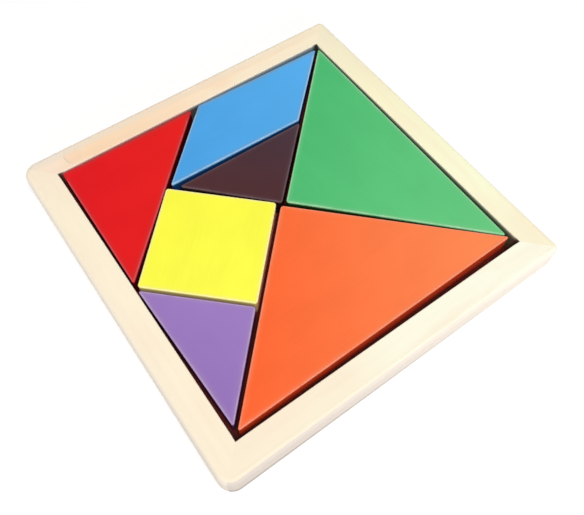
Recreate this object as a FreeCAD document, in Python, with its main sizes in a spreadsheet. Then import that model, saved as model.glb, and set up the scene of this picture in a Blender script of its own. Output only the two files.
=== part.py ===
import FreeCAD, Part
import math
import os
import re

import Sketcher

# A seven-piece tangram lying in a shallow square tray of four mitred rails with a let-in base.
# Millimetres, +Z up. The origin is the centre of the tray's underside.
# Seen from above, the medium triangle is at the left and back, and the two large ones are at the right and front.

# Driving dimensions of the tray and the tiles.
SIZES = {
    "recess_side": 98.0,
    "rail_width": 8.6,
    "rail_height": 9.5,
    "outer_edge_radius": 1.5,
    "inner_edge_radius": 0.3,
    "bottom_edge_radius": 0.6,
    "front_left_flat_radius": 2.8,
    "front_right_flat_radius": 0.5,
    "back_right_flat_radius": 0.4,
    "back_left_flat_radius": 3.0,
    "rebate_width": 3.5,
    "panel_thickness": 3.0,
    "panel_clearance": 0.15,
    "tile_sink": 0.3,
    "tile_gap": 1.6,
    "tile_edge_radius": 0.3,
    "tile_corner_radius": 0.6,
    "tile_tip_radius": 0.1,
}

# Each rail is drawn as it would lie at the front and then turned. The tray's corners are sanded round, each by its
# own amount: a rail names the radius of the flat of its top at its left and at its right end.
RAILS = {
    "rail_front": {"turn": 0, "left": "front_left_flat_radius", "right": "front_right_flat_radius"},
    "rail_right": {"turn": 90, "left": "front_right_flat_radius", "right": "back_right_flat_radius"},
    "rail_back": {"turn": 180, "left": "back_right_flat_radius", "right": "back_left_flat_radius"},
    "rail_left": {"turn": 270, "left": "back_left_flat_radius", "right": "front_left_flat_radius"},
}

# The dissection on a square of side 1 about its middle: each tile's kind, size, middle and turn in degrees.
# Trim and slip are where each loose tile really lies, as shares of the gap between tiles: trim takes that much
# more off each side, slip moves the tile, and swing turns it, measured at the end of one recess side.
TILES = {
    "tile_red": {
        "kind": "triangle", "leg": "recess_side / 2", "middle": (-1 / 3, 1 / 3), "turn": 270,
        "trim": 0.14, "slip": (-0.08, 0.31), "swing": -0.72,
    },
    "tile_blue": {
        "kind": "parallelogram", "leg": "recess_side / 4", "middle": (1 / 8, 3 / 8), "turn": 0,
        "trim": -0.07, "slip": (-0.12, -0.07), "swing": -1.52,
    },
    "tile_brown": {
        "kind": "triangle", "leg": "recess_side / sqrt(8)", "middle": (0, 1 / 6), "turn": 45,
        "trim": 0.06, "slip": (0.62, 0.23), "swing": -0.80,
    },
    "tile_green": {
        "kind": "triangle", "leg": "recess_side / sqrt(2)", "middle": (1 / 3, 0), "turn": 315,
        "trim": 0.22, "slip": (0.15, 0.57), "swing": -0.46,
    },
    "tile_yellow": {
        "kind": "square", "leg": "recess_side / sqrt(8)", "middle": (-1 / 4, 0), "turn": 45,
        "trim": -0.16, "slip": (0.09, 1.37), "swing": 1.07,
    },
    "tile_purple": {
        "kind": "triangle", "leg": "recess_side / sqrt(8)", "middle": (-5 / 12, -1 / 4), "turn": 135,
        "trim": -0.19, "slip": (0.29, 1.33), "swing": 1.28,
    },
    "tile_orange": {
        "kind": "triangle", "leg": "recess_side / sqrt(2)", "middle": (0, -1 / 3), "turn": 225,
        "trim": -0.19, "slip": (0.15, 1.06), "swing": 0.62,
    },
}

# In a sketch, geometry -1 is the X axis, whose first point is the origin, and geometry -2 is the Y axis.
X_AXIS, Y_AXIS = range(-1, -3, -1)
START, END, CENTRE = range(1, 4)
TOLERANCE = 0.001


def make_sizes(doc):
    """Put the driving dimensions in a sheet, one aliased cell each."""
    sheet = doc.addObject("Spreadsheet::Sheet", "Sizes")
    for row, (alias, value) in enumerate(SIZES.items(), start=1):
        sheet.set(f"A{row}", alias)
        sheet.set(f"B{row}", str(value))
        sheet.setAlias(f"B{row}", alias)
    doc.recompute()
    return sheet


def from_sheet(formula):
    """Turn a formula in the sheet's aliases into an expression that names the sheet."""
    return re.sub(r"[a-z_]+", lambda word: f"Sizes.{word[0]}" if word[0] in SIZES else word[0], formula)


def value_of(doc, formula):
    """Work out a formula in the sheet's aliases as a number."""
    return float(doc.Sizes.evalExpression(from_sheet(formula)))


def new_body(doc, label):
    body = doc.addObject("PartDesign::Body", label)
    body.Label = label
    return body


def ground_sketch(body, name):
    """Start a sketch on the body's own XY plane."""
    plane = next(item for item in body.Origin.OriginFeatures if item.Role == "XY_Plane")
    sketch = body.newObject("Sketcher::SketchObject", name)
    sketch.AttachmentSupport = [(plane, "")]
    sketch.MapMode = "FlatFace"
    return sketch


def add_polygon(sketch, points):
    """Draw a closed chain of lines through the points, joined end to start."""
    corners = [FreeCAD.Vector(x, y, 0) for x, y in points]
    count = len(corners)
    for index in range(count):
        line = Part.LineSegment(corners[index], corners[(index + 1) % count])
        sketch.addGeometry(line, False)
    for index in range(count):
        sketch.addConstraint(Sketcher.Constraint("Coincident", index, END, (index + 1) % count, START))


def add_dimension(doc, sketch, name, formula, kind, *targets):
    """Give the sketch a named dimension that follows a formula in the sheet's aliases."""
    index = sketch.addConstraint(Sketcher.Constraint(kind, *targets, value_of(doc, formula)))
    sketch.renameConstraint(index, name)
    sketch.setExpression(f"Constraints.{name}", from_sheet(formula))


def add_pad(body, sketch, height):
    pad = body.newObject("PartDesign::Pad", f"{body.Label}_pad")
    pad.Profile = sketch
    pad.setExpression("Length", from_sheet(height))
    return pad


def add_fillet(doc, body, name, radius, wanted):
    """Round the edges of the body's last feature that the wanted function picks."""
    doc.recompute()
    base = body.Tip
    edges = [f"Edge{number}" for number, edge in enumerate(base.Shape.Edges, start=1) if wanted(edge)]
    fillet = body.newObject("PartDesign::Fillet", f"{body.Label}_{name}")
    fillet.Base = (base, edges)
    fillet.setExpression("Radius", from_sheet(radius))
    return fillet


def edge_heights(edge):
    return [vertex.Point.z for vertex in edge.Vertexes]


def lies_at(edge, height):
    return all(abs(z - height) < TOLERANCE for z in edge_heights(edge))


def stands_up(edge):
    heights = edge_heights(edge)
    return len(heights) == 2 and abs(heights[0] - heights[1]) > TOLERANCE


HALF_RECESS = "recess_side / 2"
HALF_OUTSIDE = "(recess_side / 2 + rail_width)"


def corner_radius(flat_radius):
    """Name the radius of a corner's plan, outside the rounded outer edge."""
    return f"(outer_edge_radius + {flat_radius})"


def draw_rail(doc, sketch, rail):
    """Draw the plan of the front rail: inner line, mitres through the tray's middle, and rounded outer corners."""
    inner = value_of(doc, HALF_RECESS)
    outer = value_of(doc, HALF_OUTSIDE)
    left_round = value_of(doc, corner_radius(rail["left"]))
    right_round = value_of(doc, corner_radius(rail["right"]))

    def point(x, y):
        return FreeCAD.Vector(x, y, 0)

    def on_mitre(radius):
        return outer - radius + radius * math.cos(math.pi / 4)

    def corner_arc(x, radius, first_angle):
        circle = Part.Circle(point(x, radius - outer), FreeCAD.Vector(0, 0, 1), radius)
        return Part.ArcOfCircle(circle, first_angle, first_angle + math.pi / 4)

    inner_left, inner_right = point(-inner, -inner), point(inner, -inner)
    outer_left, outer_right = point(left_round - outer, -outer), point(outer - right_round, -outer)
    mitre_left = point(-on_mitre(left_round), -on_mitre(left_round))
    mitre_right = point(on_mitre(right_round), -on_mitre(right_round))
    inner_line = sketch.addGeometry(Part.LineSegment(inner_right, inner_left), False)
    left_mitre = sketch.addGeometry(Part.LineSegment(inner_left, mitre_left), False)
    left_arc = sketch.addGeometry(corner_arc(outer_left.x, left_round, math.pi * 5 / 4), False)
    outer_line = sketch.addGeometry(Part.LineSegment(outer_left, outer_right), False)
    right_arc = sketch.addGeometry(corner_arc(outer_right.x, right_round, math.pi * 3 / 2), False)
    right_mitre = sketch.addGeometry(Part.LineSegment(mitre_right, inner_right), False)

    for constraint in (
        Sketcher.Constraint("Coincident", inner_line, END, left_mitre, START),
        Sketcher.Constraint("Coincident", left_mitre, END, left_arc, START),
        Sketcher.Constraint("Tangent", left_arc, END, outer_line, START),
        Sketcher.Constraint("Tangent", outer_line, END, right_arc, START),
        Sketcher.Constraint("Coincident", right_arc, END, right_mitre, START),
        Sketcher.Constraint("Coincident", right_mitre, END, inner_line, START),
        Sketcher.Constraint("Symmetric", inner_line, START, inner_line, END, Y_AXIS),
        Sketcher.Constraint("Horizontal", outer_line),
        Sketcher.Constraint("PointOnObject", X_AXIS, START, left_mitre),
        Sketcher.Constraint("PointOnObject", X_AXIS, START, right_mitre),
        Sketcher.Constraint("PointOnObject", left_arc, CENTRE, left_mitre),
        Sketcher.Constraint("PointOnObject", right_arc, CENTRE, right_mitre),
    ):
        sketch.addConstraint(constraint)
    add_dimension(doc, sketch, "length", "recess_side", "DistanceX", inner_line, END, inner_line, START)
    add_dimension(doc, sketch, "inside", HALF_RECESS, "DistanceY", inner_line, START, X_AXIS, START)
    add_dimension(doc, sketch, "outside", HALF_OUTSIDE, "DistanceY", outer_line, START, X_AXIS, START)
    add_dimension(doc, sketch, "left_round", corner_radius(rail["left"]), "Radius", left_arc)
    add_dimension(doc, sketch, "right_round", corner_radius(rail["right"]), "Radius", right_arc)


def cut_rebate(doc, body):
    """Cut the step under the rail's inner edge that the base lies in."""
    half_length = value_of(doc, HALF_OUTSIDE)
    wall = value_of(doc, HALF_RECESS)
    depth = value_of(doc, "rebate_width")
    sketch = ground_sketch(body, f"{body.Label}_rebate_plan")
    add_polygon(sketch, [
        (-half_length, -wall - depth),
        (half_length, -wall - depth),
        (half_length, -wall + depth),
        (-half_length, -wall + depth),
    ])
    bottom, right, top, left = range(4)
    for constraint in (
        Sketcher.Constraint("Symmetric", bottom, START, bottom, END, Y_AXIS),
        Sketcher.Constraint("Horizontal", top),
        Sketcher.Constraint("Vertical", right),
        Sketcher.Constraint("Vertical", left),
    ):
        sketch.addConstraint(constraint)
    add_dimension(doc, sketch, "length", f"2 * {HALF_OUTSIDE}", "DistanceX", bottom, START, bottom, END)
    add_dimension(doc, sketch, "reach", f"{HALF_RECESS} + rebate_width", "DistanceY", bottom, START, X_AXIS, START)
    add_dimension(doc, sketch, "opening", "2 * rebate_width", "DistanceY", right, START, right, END)

    doc.recompute()
    before = body.Tip.Shape.Volume
    rebate = body.newObject("PartDesign::Pocket", f"{body.Label}_rebate")
    rebate.Profile = sketch
    rebate.Reversed = True
    rebate.setExpression("Length", from_sheet("panel_thickness"))
    doc.recompute()
    if not rebate.Shape.Volume < before:
        raise RuntimeError(f"the rebate of {body.Label} cuts nothing")


def make_rail(doc, name, rail):
    """Make one rail as it lies at the front, and turn it to its side of the tray."""
    body = new_body(doc, name)
    plan = ground_sketch(body, f"{name}_plan")
    draw_rail(doc, plan, rail)
    add_pad(body, plan, "rail_height")
    cut_rebate(doc, body)

    inner = value_of(doc, HALF_RECESS)
    reach = inner + value_of(doc, "rebate_width")
    height = value_of(doc, "rail_height")

    def outside(edge):
        ends = [(vertex.Point.x, vertex.Point.y) for vertex in edge.Vertexes]
        return all(y < -reach - TOLERANCE for _, y in ends) and not is_mitre_edge(edge)

    def is_mitre_edge(edge):
        return all(abs(abs(vertex.Point.x) - abs(vertex.Point.y)) < TOLERANCE for vertex in edge.Vertexes)

    def inner_top(edge):
        return lies_at(edge, height) and all(abs(vertex.Point.y + inner) < TOLERANCE for vertex in edge.Vertexes)

    add_fillet(doc, body, "outer_round", "outer_edge_radius", lambda edge: lies_at(edge, height) and outside(edge))
    add_fillet(doc, body, "inner_round", "inner_edge_radius", inner_top)
    add_fillet(doc, body, "bottom_round", "bottom_edge_radius", lambda edge: lies_at(edge, 0) and outside(edge))
    turn = FreeCAD.Rotation(FreeCAD.Vector(0, 0, 1), rail["turn"])
    body.Placement = FreeCAD.Placement(FreeCAD.Vector(), turn)
    return body


def draw_square(doc, sketch, side):
    """Draw a square of the given side, in line with the axes and centred on the origin."""
    half = value_of(doc, side) / 2
    add_polygon(sketch, [(-half, -half), (half, -half), (half, half), (-half, half)])
    bottom, right, top, left = range(4)
    for constraint in (
        Sketcher.Constraint("Horizontal", bottom),
        Sketcher.Constraint("Horizontal", top),
        Sketcher.Constraint("Vertical", right),
        Sketcher.Constraint("Vertical", left),
        Sketcher.Constraint("Equal", bottom, right),
        Sketcher.Constraint("Symmetric", bottom, START, top, START, X_AXIS, START),
    ):
        sketch.addConstraint(constraint)
    add_dimension(doc, sketch, "side", side, "DistanceX", bottom, START, bottom, END)


def draw_triangle(doc, sketch, leg, inset):
    """Draw a right triangle with legs along X and Y, inset from one whose centroid is the origin."""
    cut_leg = f"{leg} - (2 + sqrt(2)) * {inset}"
    corner = f"{leg} / 3 - {inset}"
    length = value_of(doc, cut_leg)
    low = -value_of(doc, corner)
    add_polygon(sketch, [(low, low), (low + length, low), (low, low + length)])
    bottom, slope, left = range(3)
    for constraint in (
        Sketcher.Constraint("Horizontal", bottom),
        Sketcher.Constraint("Vertical", left),
        Sketcher.Constraint("Equal", bottom, left),
    ):
        sketch.addConstraint(constraint)
    add_dimension(doc, sketch, "leg", cut_leg, "DistanceX", bottom, START, bottom, END)
    add_dimension(doc, sketch, "corner_x", corner, "DistanceX", bottom, START, X_AXIS, START)
    add_dimension(doc, sketch, "corner_y", corner, "DistanceY", bottom, START, X_AXIS, START)


def draw_parallelogram(doc, sketch, height, inset):
    """Draw a parallelogram twice as long as high, with 45 degree ends, inset all round and centred on the origin."""
    cut_height = f"{height} - 2 * {inset}"
    cut_length = f"2 * {height} - sqrt(8) * {inset}"
    half_height = value_of(doc, cut_height) / 2
    half_length = value_of(doc, cut_length) / 2
    add_polygon(sketch, [
        (-half_length - half_height, -half_height),
        (half_length - half_height, -half_height),
        (half_length + half_height, half_height),
        (-half_length + half_height, half_height),
    ])
    bottom, right, top, left = range(4)
    for constraint in (
        Sketcher.Constraint("Horizontal", bottom),
        Sketcher.Constraint("Horizontal", top),
        Sketcher.Constraint("Parallel", right, left),
        Sketcher.Constraint("Angle", bottom, START, right, START, math.pi / 4),
        Sketcher.Constraint("Symmetric", bottom, START, top, START, X_AXIS, START),
    ):
        sketch.addConstraint(constraint)
    add_dimension(doc, sketch, "height", cut_height, "DistanceY", bottom, END, top, START)
    add_dimension(doc, sketch, "length", cut_length, "DistanceX", bottom, START, bottom, END)


def make_panel(doc):
    """Make the thin square base that lies in the rails' rebates, flush with their underside."""
    body = new_body(doc, "base_panel")
    plan = ground_sketch(body, "base_panel_plan")
    draw_square(doc, plan, "(recess_side + 2 * (rebate_width - panel_clearance))")
    add_pad(body, plan, "panel_thickness")
    return body


def corner_distance(edge):
    corner = edge.Vertexes[0].Point
    return math.hypot(corner.x, corner.y)


def tip_distance(shape):
    """Find the distance from the middle beyond which a tile's upright edges are its 45 degree tips."""
    distances = [corner_distance(edge) for edge in shape.Edges if stands_up(edge)]
    return (min(distances) + max(distances)) / 2


def make_tile(doc, name, tile):
    """Make one tile with rounded corners and eased edges, and lay it on the base where it came to rest."""
    body = new_body(doc, name)
    plan = ground_sketch(body, f"{name}_plan")
    inset = f"(tile_gap * {0.5 + tile['trim']})"
    if tile["kind"] == "triangle":
        draw_triangle(doc, plan, tile["leg"], inset)
    elif tile["kind"] == "parallelogram":
        draw_parallelogram(doc, plan, tile["leg"], inset)
    else:
        draw_square(doc, plan, f"{tile['leg']} - 2 * {inset}")
    thickness = "rail_height - panel_thickness - tile_sink"
    add_pad(body, plan, thickness)
    top = value_of(doc, thickness)
    doc.recompute()
    limit = tip_distance(body.Tip.Shape)
    add_fillet(doc, body, "corners", "tile_edge_radius + tile_corner_radius",
               lambda edge: stands_up(edge) and corner_distance(edge) < limit + TOLERANCE)
    if tile["kind"] != "square":
        add_fillet(doc, body, "tips", "tile_edge_radius + tile_tip_radius",
                   lambda edge: stands_up(edge) and corner_distance(edge) > limit + TOLERANCE)
    add_fillet(doc, body, "edges", "tile_edge_radius", lambda edge: lies_at(edge, top) or lies_at(edge, 0))

    middle_x, middle_y = tile["middle"]
    slip_x, slip_y = tile["slip"]
    body.Placement.Rotation.Axis = FreeCAD.Vector(0, 0, 1)
    body.setExpression("Placement.Base.x", from_sheet(f"recess_side * {middle_x} + tile_gap * {slip_x}"))
    body.setExpression("Placement.Base.y", from_sheet(f"recess_side * {middle_y} + tile_gap * {slip_y}"))
    body.setExpression("Placement.Base.z", from_sheet("panel_thickness"))
    swing = f"atan({tile['swing']} * tile_gap / recess_side)"
    body.setExpression("Placement.Rotation.Angle", from_sheet(f"{tile['turn']} deg + {swing}"))
    return body


def write_parts(doc, bodies):
    """Check every feature and solid, and then write one file for each piece."""
    failed = [item.Label for item in doc.Objects if {"Invalid", "Error"} & set(item.State)]
    if failed:
        raise RuntimeError(f"features that failed: {failed}")
    for body in bodies:
        if body.Shape.isNull() or not body.Shape.isValid():
            raise RuntimeError(f"{body.Label} is not a valid solid")
    os.makedirs("parts", exist_ok=True)
    for body in bodies:
        body.Shape.exportStep(f"parts/{body.Label}.step")


def main():
    doc = FreeCAD.newDocument("tangram")
    make_sizes(doc)
    bodies = [make_rail(doc, name, rail) for name, rail in RAILS.items()]
    bodies.append(make_panel(doc))
    bodies += [make_tile(doc, name, tile) for name, tile in TILES.items()]
    doc.recompute()
    write_parts(doc, bodies)


main()
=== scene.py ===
import math

import bpy
from mathutils import Matrix, Vector


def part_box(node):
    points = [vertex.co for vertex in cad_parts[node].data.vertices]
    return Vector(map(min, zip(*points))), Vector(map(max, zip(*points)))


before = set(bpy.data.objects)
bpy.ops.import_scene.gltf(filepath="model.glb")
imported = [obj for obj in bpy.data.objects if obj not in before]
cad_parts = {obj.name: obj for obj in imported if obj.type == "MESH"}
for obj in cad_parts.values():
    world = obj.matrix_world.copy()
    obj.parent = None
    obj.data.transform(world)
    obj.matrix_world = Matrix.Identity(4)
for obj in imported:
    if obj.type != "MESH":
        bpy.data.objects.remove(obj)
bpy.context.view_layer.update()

# Metres, in the part's own frame: +Z up, origin at the middle of the tray's underside.
# The tray's main lines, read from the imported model.
RAIL_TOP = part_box("rail_front")[1].z
RECESS_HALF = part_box("rail_right")[0].x
OUTSIDE_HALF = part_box("rail_right")[1].x
TILE_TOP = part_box("tile_green")[1].z
BOARD_TOP_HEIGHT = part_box("base_panel")[1].z

# The frame's directions, and a quarter turn.
RIGHT = (1.0, 0.0, 0.0)
BACK = (0.0, 1.0, 0.0)
UP = (0.0, 0.0, 1.0)
QUARTER_TURN = math.pi / 2

# The sRGB curve, from 0 to 255 to the linear values that shaders use.
SRGB_FULL = 255
SRGB_STRAIGHT_END = 0.04045
SRGB_STRAIGHT_SLOPE = 12.92
SRGB_OFFSET = 0.055
SRGB_POWER = 2.4

# The camera: where it stands, the point on the tray's top that it looks at, its roll and its lens.
CAMERA_PLACE = Vector((-0.06050, -0.08385, 0.16450))
CAMERA_AIM = Vector((-0.00790, -0.01545, RAIL_TOP))
CAMERA_ROLL = math.radians(2.05)
CAMERA_LENS_MM = 38.60
SENSOR_WIDTH_MM = 36.0
CAMERA_CLIP = 0.001

# Light: an even white surround and two soft boxes. Together they light a flat white surface to about 1.
SURROUND_LEVEL = 0.42
KEY_PLACE = Vector((-0.16, -0.80, 1.80))
KEY_SIZE = 0.84
KEY_POWER = 24.2
FILL_PLACE = Vector((-0.50, -1.40, 0.36))
FILL_SIZE = 1.0
FILL_POWER = 3.6

# Floor: a square, open where the tray covers it, just below the tray so that their faces don't coincide.
FLOOR_HALF = 1.5
FLOOR_COLOUR = (0.90, 0.90, 0.90, 1.0)
FLOOR_LIFT = 0.15
FLOOR_DROP = 0.00002
FLOOR_OPENING_HALF = OUTSIDE_HALF - 0.002
SQUARE_CORNERS = ((-1, -1), (1, -1), (1, 1), (-1, 1))

# Each tile's paint in 0 to 255 sRGB, which drifts from a first tone to a second across the tile as painted
# light. Then the directions of that drift and of the grain that shows through, in degrees from +X, the tones
# of the band inside the tile's edges, of the painted highlight on its rounded edges and of the painted shade
# on its sides in the gaps, and the depth below its top at which that painted shade is full.
PAINTS = {
    "tile_red": {"paint": ((233, 26, 23), (228, 18, 28)), "drift": 150, "grain": 0,
                 "rim": (186, 52, 54), "edge": (214, 84, 90), "side": (100, 8, 12), "full": 0.0012},
    "tile_blue": {"paint": ((86, 175, 238), (74, 163, 230)), "drift": 165, "grain": 0,
                  "rim": (122, 156, 184), "edge": (166, 204, 238), "side": (22, 68, 124), "full": 0.0010},
    "tile_brown": {"paint": ((79, 43, 46), (71, 51, 62)), "drift": 45, "grain": 0,
                   "rim": (86, 64, 70), "edge": (108, 88, 92), "side": (32, 16, 20), "full": 0.0012},
    "tile_green": {"paint": ((104, 203, 129), (73, 187, 113)), "drift": 120, "grain": 90,
                   "rim": (134, 194, 142), "edge": (166, 220, 172), "side": (36, 54, 18), "full": 0.0010},
    "tile_yellow": {"paint": ((254, 253, 75), (254, 251, 69)), "drift": 90, "grain": 45,
                    "rim": (250, 240, 126), "edge": (252, 244, 184), "side": (232, 205, 150), "full": 0.0012},
    "tile_purple": {"paint": ((151, 116, 187), (159, 125, 195)), "drift": 30, "grain": 90,
                    "rim": (166, 142, 174), "edge": (190, 164, 206), "side": (98, 44, 84), "full": 0.0014},
    "tile_orange": {"paint": ((253, 139, 83), (253, 100, 45)), "drift": 150, "grain": 0,
                    "rim": (247, 134, 94), "edge": (242, 150, 120), "side": (250, 80, 38), "full": 0.0008},
}

# Each rail's bare wood: its tones in 0 to 255 sRGB at shares of its length, from the -X or -Y end, the tone
# of its blotches, how much its outer half turns grey at either end, the same run of tones for the painted
# shade on its sides and rounded edges, how much painted shade darkens its foot at either end, and the tones
# of the painted shade on its wall in the recess, tinted as a painted reflection of the tiles beside it.
PINE = {
    "rail_front": {
        "tones": ((0.08, (250, 236, 210)), (0.35, (251, 240, 214)),
                  (0.50, (252, 248, 225)), (0.90, (252, 251, 229))),
        "blotch": (251, 232, 208),
        "greying": (0.0, 0.0),
        "sides": ((0.0, (216, 204, 196)), (0.5, (236, 224, 213)), (1.0, (250, 240, 227))),
        "foot": (0.92, 0.0),
        "wall": ((0.0, (84, 40, 24)), (1.0, (84, 40, 24))),
    },
    "rail_right": {
        "tones": ((0.10, (251, 242, 210)), (0.26, (253, 253, 217)), (0.50, (252, 250, 211)),
                  (0.70, (251, 243, 205)), (0.95, (246, 237, 206))),
        "blotch": (252, 236, 203),
        "greying": (0.0, 0.1),
        "sides": ((0.0, (246, 237, 222)), (1.0, (242, 232, 216))),
        "foot": (0.25, 0.15),
        "wall": ((0.08, (120, 70, 44)), (0.12, (62, 118, 54))),
    },
    "rail_back": {
        "tones": ((0.08, (252, 229, 205)), (0.19, (252, 220, 184)), (0.44, (254, 225, 192)),
                  (0.56, (254, 234, 205)), (0.95, (252, 238, 208))),
        "blotch": (252, 214, 177),
        "greying": (0.7, 0.2),
        "sides": ((0.0, (240, 229, 214)), (1.0, (242, 232, 216))),
        "foot": (0.25, 0.15),
        "wall": ((0.47, (204, 44, 26)), (0.482, (30, 22, 26)),
                 (0.504, (24, 28, 40)), (0.518, (112, 148, 164))),
    },
    "rail_left": {
        "tones": ((0.08, (252, 238, 212)), (0.50, (253, 240, 213)),
                  (0.82, (252, 239, 212)), (0.95, (250, 234, 209))),
        "blotch": (250, 230, 204),
        "greying": (0.1, 0.0),
        "sides": ((0.0, (236, 225, 212)), (0.4, (246, 235, 220)), (1.0, (248, 237, 222))),
        "foot": (0.22, 0.08),
        "wall": ((0.46, (56, 38, 50)), (0.52, (66, 14, 8))),
    },
}

# The tones of the greyed wood, of painted shade at the rails' feet and in the recess corners, of the seams
# and the knot, and of the pressed board's two sides, the top one redder as a painted reflection of the tiles.
GREYED_PINE = (237, 227, 210)
FOOT_SHADE = (160, 149, 141)
SEAM = (170, 154, 134)
CORNER_SHADE = (54, 42, 34)
KNOT_LINE = (214, 200, 172)
KNOT_HEART = (251, 214, 178)
# The top's redder tones are a painted reflection of the tiles' colour in the gaps.
BOARD_TOP = {"light": (118, 36, 28), "dark": (90, 26, 20)}
BOARD_UNDERSIDE = {"light": (106, 73, 54), "dark": (92, 62, 46)}

# Noise: the range that its value usually keeps to, and its detail.
NOISE_RANGE = (0.3, 0.7)
FINE_DETAIL = 2.0
PLAIN_DETAIL = 1.0

# The middle of a ramp, and of the tray as a share of its width.
MIDDLE = 0.5

# Relief is given in metres.
RELIEF_UNIT = 1.0

# Paint: the sizes of its features, in metres as length, width and height, how strongly each shows, and how
# far inside a tile's edges and below its top the dull band, with its painted shade by the back rail, and the
# painted highlight line on the edges reach.
CLOUD_SIZE = (0.016, 0.011, 0.011)
CLOUD_DEPTH = 0.022
TELEGRAPH_SIZE = (0.012, 0.0006, 0.0006)
TELEGRAPH_DEPTH = 0.008
TELEGRAPH_RELIEF = 0.000004
PEEL_SIZE = (0.0004, 0.0004, 0.0004)
PEEL_RELIEF = 0.0000025
RIM_START = 0.0003
RIM_END = 0.0018
RIM_SHARE = 0.45
RIM_FADE_START = 0.0003
RIM_FADE_END = 0.0006
BACK_RAIL_SHADE_SHARE = 0.90
RIM_BACK_START = RECESS_HALF - 0.0045
RIM_BACK_FULL = RECESS_HALF - 0.0025
EDGE_HIGHLIGHT_START = 0.0003
EDGE_HIGHLIGHT_END = 0.0006
EDGE_HIGHLIGHT_SHARE = 0.75
RIM_PATCH_SIZE = (0.005, 0.005, 0.005)
RIM_PATCH_RANGE = (0.30, 0.60)
RIM_PATCH_LEAST = 0.55
SCUFF_SIZE = (0.0030, 0.00022, 0.00022)
SCUFF_RANGE = (0.70, 0.78)
SCUFF_SHARE = 0.22
PAINT_ROUGHNESS = (0.40, 0.54)
PAINT_SPECULAR = 0.15

# The depth below their tops at which the tiles start to take the painted shade of their sides.
TILE_SIDE_SHADE_START = 0.0003

# Pine: the same for the bare wood.
RING_SIZE = (0.110, 0.0017, 0.0026)
RING_DEPTH = 0.010
FIBRE_SIZE = (0.009, 0.00016, 0.00016)
FIBRE_DEPTH = 0.010
FIBRE_RELIEF = 0.000016
PORE_SIZE = (0.0045, 0.00022, 0.00022)
PORE_RANGE = (0.68, 0.76)
PORE_SHARE = 0.30
BLOTCH_SIZE = (0.022, 0.006, 0.006)
BLOTCH_RANGE = (0.46, 0.74)
BLOTCH_SHARE = 0.45
PINE_ROUGHNESS = (0.58, 0.74)
PINE_SPECULAR = 0.20

# Pressed board: short fibres that lie in several directions over mottling.
STRAND_SIZE = (0.0036, 0.00028, 0.00028)
STRAND_TURNS = (0.2, 1.3, 2.4)
STRAND_DEPTH = 0.09

# Where each tone of a rail starts and is full, across its width, towards its ends, below its top, above the
# floor or by the tilt of its surface, and how strongly it shows.
GREYING_START = RECESS_HALF + 0.0042
GREYING_FULL = RECESS_HALF + 0.0062
RAIL_SIDE_SHADE_SHARE = 0.9
RAIL_SIDE_SHADE_TILT = (0.75, 0.985)
# Painted shade on the recess walls, darker with depth and in the corners, and at the rails' feet.
WALL_WIDTH = 0.0003
WALL_SHADE_START = -0.0004
WALL_SHADE_FULL = 0.0016
WALL_CORNER_START = RECESS_HALF - 0.0022
WALL_CORNER_FULL = RECESS_HALF - 0.0004
WALL_SHADE_SHARE = 0.88
FOOT_HEIGHT = 0.0042

# The mitres: a faint hairline, darker where it stands open, at the recess corner between the front and the
# right rail.
SEAM_WIDTH = 0.0003
SEAM_SHARE = 0.14
OPEN_SEAM_PLACE = (RECESS_HALF, -RECESS_HALF, RAIL_TOP)
OPEN_SEAM_LENGTH = 0.0048
OPEN_SEAM_SHARE = 0.85

# The knot in the back rail, near its left end: a warmer eye, and a line that shows on its left side only.
KNOT_PLACE = (-0.0420, 0.0530, RAIL_TOP)
KNOT_SQUASH = (1.0, 0.92, 2.5)
KNOT_RADIUS = 0.0028
KNOT_LINE_WIDTH = 0.0004
KNOT_LINE_SHARE = 0.6
KNOT_EYE_SHARE = 0.6
KNOT_WARP = 0.0008
KNOT_WARP_SIZE = (0.0022, 0.0022, 0.0022)

# An upright face counts as one of a node's flat sides from this area on, in square metres, and two faces are
# the same side where their normals agree to so many digits.
SIDE_AREA = 0.00004
UPRIGHT_TILT = 0.01
NORMAL_DIGITS = 2


def linear(colour):
    """Turn a 0 to 255 sRGB colour into the linear RGBA that shaders use."""
    def channel(value):
        share = value / SRGB_FULL
        if share <= SRGB_STRAIGHT_END:
            return share / SRGB_STRAIGHT_SLOPE
        return ((share + SRGB_OFFSET) / (1 + SRGB_OFFSET)) ** SRGB_POWER
    return (*(channel(value) for value in colour), 1.0)


def feed(tree, socket, value):
    """Link another node's output to the socket, or set the socket when value is plain."""
    if isinstance(value, bpy.types.NodeSocket):
        tree.links.new(value, socket)
    else:
        socket.default_value = value


def new_material(name):
    """A material with one principled shader, its node tree and that shader."""
    material = bpy.data.materials.new(name)
    material.use_nodes = True
    tree = material.node_tree
    tree.nodes.clear()
    output = tree.nodes.new("ShaderNodeOutputMaterial")
    shader = tree.nodes.new("ShaderNodeBsdfPrincipled")
    tree.links.new(shader.outputs["BSDF"], output.inputs["Surface"])
    return material, tree, shader


def here(tree, output="Object"):
    """The point's own coordinates in the part's frame, or its normal there."""
    return tree.nodes.new("ShaderNodeTexCoord").outputs[output]


def maths(tree, operation, first, second=0.0):
    """One step of arithmetic on two values."""
    node = tree.nodes.new("ShaderNodeMath")
    node.operation = operation
    feed(tree, node.inputs[0], first)
    feed(tree, node.inputs[1], second)
    return node.outputs["Value"]


def vector_maths(tree, operation, output, first, second=(0.0, 0.0, 0.0)):
    """One step of arithmetic on two vectors."""
    node = tree.nodes.new("ShaderNodeVectorMath")
    node.operation = operation
    feed(tree, node.inputs[0], first)
    feed(tree, node.inputs[1], second)
    return node.outputs[output]


def along(tree, direction, vector=None):
    """How far the point, or another vector, reaches in a direction."""
    return vector_maths(tree, "DOT_PRODUCT", "Value", vector or here(tree), direction)


def height_here(tree):
    """The point's height above the floor."""
    return along(tree, UP)


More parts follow.
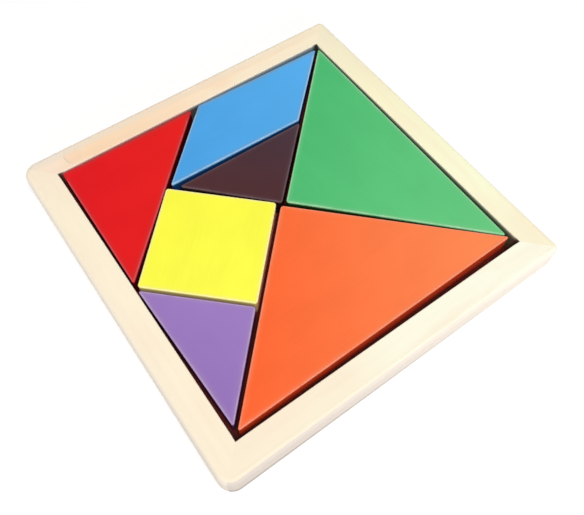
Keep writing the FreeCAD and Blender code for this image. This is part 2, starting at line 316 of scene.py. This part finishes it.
def spread(tree, value, low, high, to_low=0.0, to_high=1.0):
    """Ease a value that runs from low to high into one from to_low to to_high, and hold it outside."""
    node = tree.nodes.new("ShaderNodeMapRange")
    node.interpolation_type = "SMOOTHSTEP"
    feed(tree, node.inputs["Value"], value)
    for name, number in (("From Min", low), ("From Max", high), ("To Min", to_low), ("To Max", to_high)):
        node.inputs[name].default_value = number
    return node.outputs["Result"]


def noise(tree, size, turn=0.0, shift=0.0, detail=FINE_DETAIL):
    """Noise whose features have the given length, width and height, turned about the upright."""
    scaled = tree.nodes.new("ShaderNodeMapping")
    scaled.vector_type = "TEXTURE"
    scaled.inputs["Location"].default_value = (shift, shift, shift)
    scaled.inputs["Rotation"].default_value = (0.0, 0.0, turn)
    scaled.inputs["Scale"].default_value = size
    tree.links.new(here(tree), scaled.inputs["Vector"])
    node = tree.nodes.new("ShaderNodeTexNoise")
    node.inputs["Scale"].default_value = 1.0
    node.inputs["Detail"].default_value = detail
    tree.links.new(scaled.outputs["Vector"], node.inputs["Vector"])
    return node.outputs["Fac"]


def blend(tree, share, first, second):
    """Colour that goes from the first to the second as the share goes from 0 to 1."""
    node = tree.nodes.new("ShaderNodeMix")
    node.data_type = "RGBA"
    feed(tree, node.inputs["Factor"], share)
    feed(tree, node.inputs["A"], first)
    feed(tree, node.inputs["B"], second)
    return node.outputs["Result"]


def shade(tree, colour, value, depth):
    """Darken and lighten a colour by up to depth as a noise value goes through its usual range."""
    node = tree.nodes.new("ShaderNodeVectorMath")
    node.operation = "SCALE"
    feed(tree, node.inputs["Vector"], colour)
    feed(tree, node.inputs["Scale"], spread(tree, value, *NOISE_RANGE, 1.0 - depth, 1.0 + depth))
    return node.outputs["Vector"]


def tone_along(tree, tones, direction):
    """Colour that runs through the tones from one end of the tray to the other in a direction."""
    ramp = tree.nodes.new("ShaderNodeValToRGB")
    elements = ramp.color_ramp.elements
    while len(elements) < len(tones):
        elements.new(MIDDLE)
    for element, (place, tone) in zip(elements, tones):
        element.position = place
        element.color = linear(tone)
    share = maths(tree, "ADD", maths(tree, "DIVIDE", along(tree, direction), 2 * OUTSIDE_HALF), MIDDLE)
    tree.links.new(share, ramp.inputs["Fac"])
    return ramp.outputs["Color"]


def relief(tree, shader, heights):
    """Bump from a list of noise values and how high each stands, in metres."""
    total = 0.0
    for value, height in heights:
        total = maths(tree, "ADD", maths(tree, "MULTIPLY", value, height), total)
    node = tree.nodes.new("ShaderNodeBump")
    node.inputs["Distance"].default_value = RELIEF_UNIT
    tree.links.new(total, node.inputs["Height"])
    tree.links.new(node.outputs["Normal"], shader.inputs["Normal"])


def flat_sides(node):
    """A node's upright flat sides, each as its outward normal and its distance from the origin."""
    sides = {}
    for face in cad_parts[node].data.polygons:
        if abs(face.normal.z) < UPRIGHT_TILT and face.area > SIDE_AREA:
            key = tuple(round(value, NORMAL_DIGITS) for value in face.normal)
            sides[key] = (tuple(face.normal), face.normal.dot(face.center))
    return list(sides.values())


def depth_inside(tree, sides):
    """How far a point lies inside the nearest of some flat sides, in metres."""
    nearest = OUTSIDE_HALF
    for normal, reach in sides:
        nearest = maths(tree, "MINIMUM", maths(tree, "SUBTRACT", reach, along(tree, normal)), nearest)
    return nearest


def painted_light_drift(tree, node, look):
    """Painted light: colour that goes from a tile's first tone to its second across the whole tile, as light
    falls on it.
    """
    turn = math.radians(look["drift"])
    direction = Vector((math.cos(turn), math.sin(turn), 0.0))
    reaches = [vertex.co.dot(direction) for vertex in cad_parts[node].data.vertices]
    from_low = maths(tree, "SUBTRACT", along(tree, direction), min(reaches))
    share = maths(tree, "DIVIDE", from_low, max(reaches) - min(reaches))
    first, second = look["paint"]
    return blend(tree, share, linear(first), linear(second))


def add_edge_band_and_painted_highlight(tree, colour, node, look, shift):
    """A dull band in patches inside a tile's edges, with painted shade by the back rail, and a pale painted
    highlight on them.
    """
    inside = depth_inside(tree, flat_sides(node))
    upper = spread(tree, height_here(tree), TILE_TOP - RIM_FADE_END, TILE_TOP - RIM_FADE_START)
    patches = spread(tree, noise(tree, RIM_PATCH_SIZE, shift=shift), *RIM_PATCH_RANGE, RIM_PATCH_LEAST, 1.0)
    patches = maths(tree, "MULTIPLY", patches, upper)
    place = along(tree, BACK)
    # Painted shade: the band grows fuller towards the back rail.
    band = spread(tree, place, RIM_BACK_START, RIM_BACK_FULL, RIM_SHARE, BACK_RAIL_SHADE_SHARE)
    band = maths(tree, "MULTIPLY", band, spread(tree, inside, RIM_START, RIM_END, 1.0, 0.0))
    colour = blend(tree, maths(tree, "MULTIPLY", band, patches), colour, linear(look["rim"]))
    # Painted highlight: a pale line on the rounded edges, which fades out towards the back rail.
    line = spread(tree, place, RIM_BACK_START, RIM_BACK_FULL, EDGE_HIGHLIGHT_SHARE, 0.0)
    line = maths(tree, "MULTIPLY", line, spread(tree, inside, EDGE_HIGHLIGHT_START, EDGE_HIGHLIGHT_END, 1.0, 0.0))
    return blend(tree, maths(tree, "MULTIPLY", line, patches), colour, linear(look["edge"]))


def paint_material(node, look, shift):
    """Satin paint on wood: clouded, with grain showing through, fine peel, an edge band, scuffs, and painted
    light and shade.
    """
    material, tree, shader = new_material(node + "_paint")
    turn = math.radians(look["grain"])
    cloud = noise(tree, CLOUD_SIZE, turn, shift)
    telegraph = noise(tree, TELEGRAPH_SIZE, turn, shift)
    peel = noise(tree, PEEL_SIZE, shift=shift)
    colour = shade(tree, painted_light_drift(tree, node, look), cloud, CLOUD_DEPTH)
    colour = shade(tree, colour, telegraph, TELEGRAPH_DEPTH)
    colour = add_edge_band_and_painted_highlight(tree, colour, node, look, shift)
    scuffs = noise(tree, SCUFF_SIZE, turn + QUARTER_TURN / 2, shift, PLAIN_DETAIL)
    colour = blend(tree, spread(tree, scuffs, *SCUFF_RANGE, 0.0, SCUFF_SHARE), colour, linear(look["rim"]))
    # Painted shade: the tiles' sides turn to their darker side tone with depth below the top.
    depth = maths(tree, "SUBTRACT", TILE_TOP, height_here(tree))
    colour = blend(tree, spread(tree, depth, TILE_SIDE_SHADE_START, look["full"]), colour, linear(look["side"]))
    tree.links.new(colour, shader.inputs["Base Color"])
    tree.links.new(spread(tree, cloud, *NOISE_RANGE, *PAINT_ROUGHNESS), shader.inputs["Roughness"])
    shader.inputs["Specular IOR Level"].default_value = PAINT_SPECULAR
    relief(tree, shader, [(telegraph, TELEGRAPH_RELIEF), (peel, PEEL_RELIEF)])
    return material


def add_knot(tree, colour):
    """A pale knot: a warmer eye, and a thin greyish line that fades out on its right side."""
    offset = vector_maths(tree, "SUBTRACT", "Vector", here(tree), KNOT_PLACE)
    offset = vector_maths(tree, "MULTIPLY", "Vector", offset, KNOT_SQUASH)
    warp = maths(tree, "MULTIPLY", noise(tree, KNOT_WARP_SIZE), KNOT_WARP)
    radius = maths(tree, "ADD", vector_maths(tree, "LENGTH", "Value", offset), warp)
    edge = KNOT_RADIUS + KNOT_WARP / 2
    eye = spread(tree, radius, edge - KNOT_LINE_WIDTH, edge, KNOT_EYE_SHARE, 0.0)
    colour = blend(tree, eye, colour, linear(KNOT_HEART))
    distance = maths(tree, "ABSOLUTE", maths(tree, "SUBTRACT", radius, edge))
    line = spread(tree, distance, 0.0, KNOT_LINE_WIDTH, KNOT_LINE_SHARE, 0.0)
    left_side = spread(tree, along(tree, RIGHT, offset), -KNOT_RADIUS, 0.0, 1.0, 0.0)
    return blend(tree, maths(tree, "MULTIPLY", line, left_side), colour, linear(KNOT_LINE))


def add_seams(tree, colour, node, rings):
    """Hairlines at a rail's two mitres, and the one place where a mitre stands open."""
    mitres = [side for side in flat_sides(node) if min(abs(side[0][0]), abs(side[0][1])) > UPRIGHT_TILT]
    offset = vector_maths(tree, "SUBTRACT", "Vector", here(tree), OPEN_SEAM_PLACE)
    distance = vector_maths(tree, "LENGTH", "Value", offset)
    opening = spread(tree, distance, 0.0, OPEN_SEAM_LENGTH, OPEN_SEAM_SHARE, 0.0)
    share = maths(tree, "MAXIMUM", opening, maths(tree, "MULTIPLY", rings, SEAM_SHARE))
    seam = spread(tree, depth_inside(tree, mitres), 0.0, SEAM_WIDTH, 1.0, 0.0)
    return blend(tree, maths(tree, "MULTIPLY", seam, share), colour, linear(SEAM))


def rail_directions(node):
    """The directions in which a rail runs and faces, away from the tray's middle."""
    low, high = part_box(node)
    middle = (low + high) / 2
    if abs(middle.x) > abs(middle.y):
        return BACK, (math.copysign(1.0, middle.x), 0.0, 0.0)
    return RIGHT, (0.0, math.copysign(1.0, middle.y), 0.0)


def rail_tone(tree, node, look, blotches):
    """A rail's tones along its length: blotched, with the knot, greyer outside, and painted shade on its
    sides.
    """
    length, outward = rail_directions(node)
    colour = tone_along(tree, look["tones"], length)
    colour = blend(tree, blotches, colour, linear(look["blotch"]))
    if node == "rail_back":
        colour = add_knot(tree, colour)
    greyed = spread(tree, along(tree, length), -OUTSIDE_HALF, OUTSIDE_HALF, *look["greying"])
    outer_half = spread(tree, along(tree, outward), GREYING_START, GREYING_FULL)
    colour = blend(tree, maths(tree, "MULTIPLY", outer_half, greyed), colour, linear(GREYED_PINE))
    # Painted shade: the upright sides and rounded edges take their own, mostly duller run of tones.
    tilt = along(tree, UP, here(tree, "Normal"))
    side_shade = spread(tree, tilt, *RAIL_SIDE_SHADE_TILT, RAIL_SIDE_SHADE_SHARE, 0.0)
    return blend(tree, side_shade, colour, tone_along(tree, look["sides"], length))


def add_painted_shade(tree, colour, node, look):
    """Painted shade at a rail's foot and on its wall in the recess, below and in the corners, tinted by the
    tiles.
    """
    length, outward = rail_directions(node)
    # Painted shade: the foot darkens towards the floor.
    foot = spread(tree, height_here(tree), 0.0, FOOT_HEIGHT, 1.0, 0.0)
    foot_shade_along = spread(tree, along(tree, length), -OUTSIDE_HALF, OUTSIDE_HALF, *look["foot"])
    colour = blend(tree, maths(tree, "MULTIPLY", foot, foot_shade_along), colour, linear(FOOT_SHADE))
    # Painted shade and painted reflection: the wall darkens with depth into tones tinted by the tiles beside
    # it.
    inside = spread(tree, along(tree, outward), RECESS_HALF, RECESS_HALF + WALL_WIDTH, 1.0, 0.0)
    depth = maths(tree, "SUBTRACT", RAIL_TOP, height_here(tree))
    depth_shade = spread(tree, depth, WALL_SHADE_START, WALL_SHADE_FULL, 0.0, WALL_SHADE_SHARE)
    wall = tone_along(tree, look["wall"], length)
    colour = blend(tree, maths(tree, "MULTIPLY", depth_shade, inside), colour, wall)
    # Painted shade: the wall darkens further in the recess corners.
    to_end = maths(tree, "ABSOLUTE", along(tree, length))
    corner = spread(tree, to_end, WALL_CORNER_START, WALL_CORNER_FULL, 0.0, WALL_SHADE_SHARE)
    return blend(tree, maths(tree, "MULTIPLY", corner, inside), colour, linear(CORNER_SHADE))


def pine_material(node, look, shift):
    """Bare sanded pine: rings, fibres, pores and blotches that run along the rail, mitre lines and painted
    shade.
    """
    material, tree, shader = new_material(node + "_pine")
    length = rail_directions(node)[0]
    turn = QUARTER_TURN * length[1]
    rings = noise(tree, RING_SIZE, turn, shift, PLAIN_DETAIL)
    fibres = noise(tree, FIBRE_SIZE, turn, shift)
    blotches = spread(tree, noise(tree, BLOTCH_SIZE, turn, shift), *BLOTCH_RANGE, 0.0, BLOTCH_SHARE)
    pores = noise(tree, PORE_SIZE, turn, shift, PLAIN_DETAIL)
    pores = spread(tree, pores, *PORE_RANGE, 0.0, PORE_SHARE)
    colour = rail_tone(tree, node, look, blotches)
    colour = shade(tree, colour, rings, RING_DEPTH)
    colour = shade(tree, colour, fibres, FIBRE_DEPTH)
    colour = blend(tree, pores, colour, linear(look["blotch"]))
    colour = add_seams(tree, colour, node, rings)
    colour = add_painted_shade(tree, colour, node, look)
    tree.links.new(colour, shader.inputs["Base Color"])
    tree.links.new(spread(tree, fibres, *NOISE_RANGE, *PINE_ROUGHNESS), shader.inputs["Roughness"])
    shader.inputs["Specular IOR Level"].default_value = PINE_SPECULAR
    relief(tree, shader, [(fibres, FIBRE_RELIEF), (rings, FIBRE_RELIEF)])
    return material


def board_material():
    """Pressed board: short fibres in several directions over mottling, brown below, redder above as painted
    reflection.
    """
    material, tree, shader = new_material("base_board")
    mottle = noise(tree, CLOUD_SIZE)
    share = spread(tree, mottle, *NOISE_RANGE)
    upper = blend(tree, share, linear(BOARD_TOP["dark"]), linear(BOARD_TOP["light"]))
    under = blend(tree, share, linear(BOARD_UNDERSIDE["dark"]), linear(BOARD_UNDERSIDE["light"]))
    # Painted reflection: the board's top is redder, with the tiles' colour that shows in the gaps.
    colour = blend(tree, spread(tree, height_here(tree), 0.0, BOARD_TOP_HEIGHT), under, upper)
    strands = [noise(tree, STRAND_SIZE, turn) for turn in STRAND_TURNS]
    for strand in strands:
        colour = shade(tree, colour, strand, STRAND_DEPTH)
    tree.links.new(colour, shader.inputs["Base Color"])
    tree.links.new(spread(tree, mottle, *NOISE_RANGE, *PINE_ROUGHNESS), shader.inputs["Roughness"])
    shader.inputs["Specular IOR Level"].default_value = PINE_SPECULAR
    relief(tree, shader, [(strand, FIBRE_RELIEF) for strand in strands])
    return material


def dress(node, material):
    """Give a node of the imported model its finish."""
    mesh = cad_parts[node].data
    mesh.materials.clear()
    mesh.materials.append(material)


def aim(thing, place, target, roll=0.0):
    """Stand a camera or lamp at place, looking at target, turned by roll about its line of sight."""
    forward = (target - place).normalized()
    upright = forward.to_track_quat("-Z", "Y").to_matrix().to_4x4()
    thing.matrix_world = Matrix.Translation(place) @ upright @ Matrix.Rotation(roll, 4, "Z")


def add_camera():
    """The camera that stands where the photograph was taken from."""
    data = bpy.data.cameras.new("camera")
    data.lens = CAMERA_LENS_MM
    data.sensor_width = SENSOR_WIDTH_MM
    data.clip_start = CAMERA_CLIP
    camera = bpy.data.objects.new("camera", data)
    bpy.context.scene.collection.objects.link(camera)
    aim(camera, CAMERA_PLACE, CAMERA_AIM, CAMERA_ROLL)
    bpy.context.scene.camera = camera


def add_soft_box(name, place, size, power):
    """A square lamp that faces the tray."""
    data = bpy.data.lights.new(name, "AREA")
    data.shape = "SQUARE"
    data.size = size
    data.energy = power
    lamp = bpy.data.objects.new(name, data)
    bpy.context.scene.collection.objects.link(lamp)
    aim(lamp, place, Vector((0, 0, 0)))


def add_surround():
    """An even white world, which also shows as plain white behind everything."""
    world = bpy.data.worlds.new("surround")
    world.use_nodes = True
    tree = world.node_tree
    background = tree.nodes["Background"]
    background.inputs["Color"].default_value = (1, 1, 1, 1)
    path = tree.nodes.new("ShaderNodeLightPath")
    level = tree.nodes.new("ShaderNodeMapRange")
    level.inputs["To Min"].default_value = SURROUND_LEVEL
    level.inputs["To Max"].default_value = 1.0
    tree.links.new(path.outputs["Is Camera Ray"], level.inputs["Value"])
    tree.links.new(level.outputs["Result"], background.inputs["Strength"])
    bpy.context.scene.world = world


def floor_mesh():
    """A flat square with a square opening in its middle."""
    halves = (FLOOR_HALF, FLOOR_OPENING_HALF)
    corners = [(half * x, half * y, -FLOOR_DROP) for half in halves for x, y in SQUARE_CORNERS]
    count = len(SQUARE_CORNERS)
    faces = []
    for side in range(count):
        after = (side + 1) % count
        faces.append((side, after, after + count, side + count))
    mesh = bpy.data.meshes.new("floor")
    mesh.from_pydata(corners, [], faces)
    return mesh


def floor_material():
    """Plain and pale, and lifted to white where the camera sees it."""
    material = bpy.data.materials.new("floor")
    material.use_nodes = True
    tree = material.node_tree
    tree.nodes.clear()
    output = tree.nodes.new("ShaderNodeOutputMaterial")
    diffuse = tree.nodes.new("ShaderNodeBsdfDiffuse")
    diffuse.inputs["Color"].default_value = FLOOR_COLOUR
    glow = tree.nodes.new("ShaderNodeEmission")
    path = tree.nodes.new("ShaderNodeLightPath")
    seen = maths(tree, "MULTIPLY", path.outputs["Is Camera Ray"], FLOOR_LIFT)
    tree.links.new(seen, glow.inputs["Strength"])
    both = tree.nodes.new("ShaderNodeAddShader")
    tree.links.new(diffuse.outputs["BSDF"], both.inputs[0])
    tree.links.new(glow.outputs["Emission"], both.inputs[1])
    tree.links.new(both.outputs["Shader"], output.inputs["Surface"])
    return material


def add_floor():
    """The floor, which keeps the tray's shadow and is open where the tray covers it, so that the underside
    can be seen."""
    mesh = floor_mesh()
    mesh.materials.append(floor_material())
    floor = bpy.data.objects.new("floor", mesh)
    bpy.context.scene.collection.objects.link(floor)


add_camera()
add_surround()
add_floor()
add_soft_box("key_box", KEY_PLACE, KEY_SIZE, KEY_POWER)
add_soft_box("fill_box", FILL_PLACE, FILL_SIZE, FILL_POWER)
for number, (node, look) in enumerate(PAINTS.items()):
    dress(node, paint_material(node, look, number * CLOUD_SIZE[0]))
for number, (node, look) in enumerate(PINE.items()):
    dress(node, pine_material(node, look, number * RING_SIZE[0]))
dress("base_panel", board_material())

scene = bpy.context.scene
scene.view_settings.view_transform = "Standard"
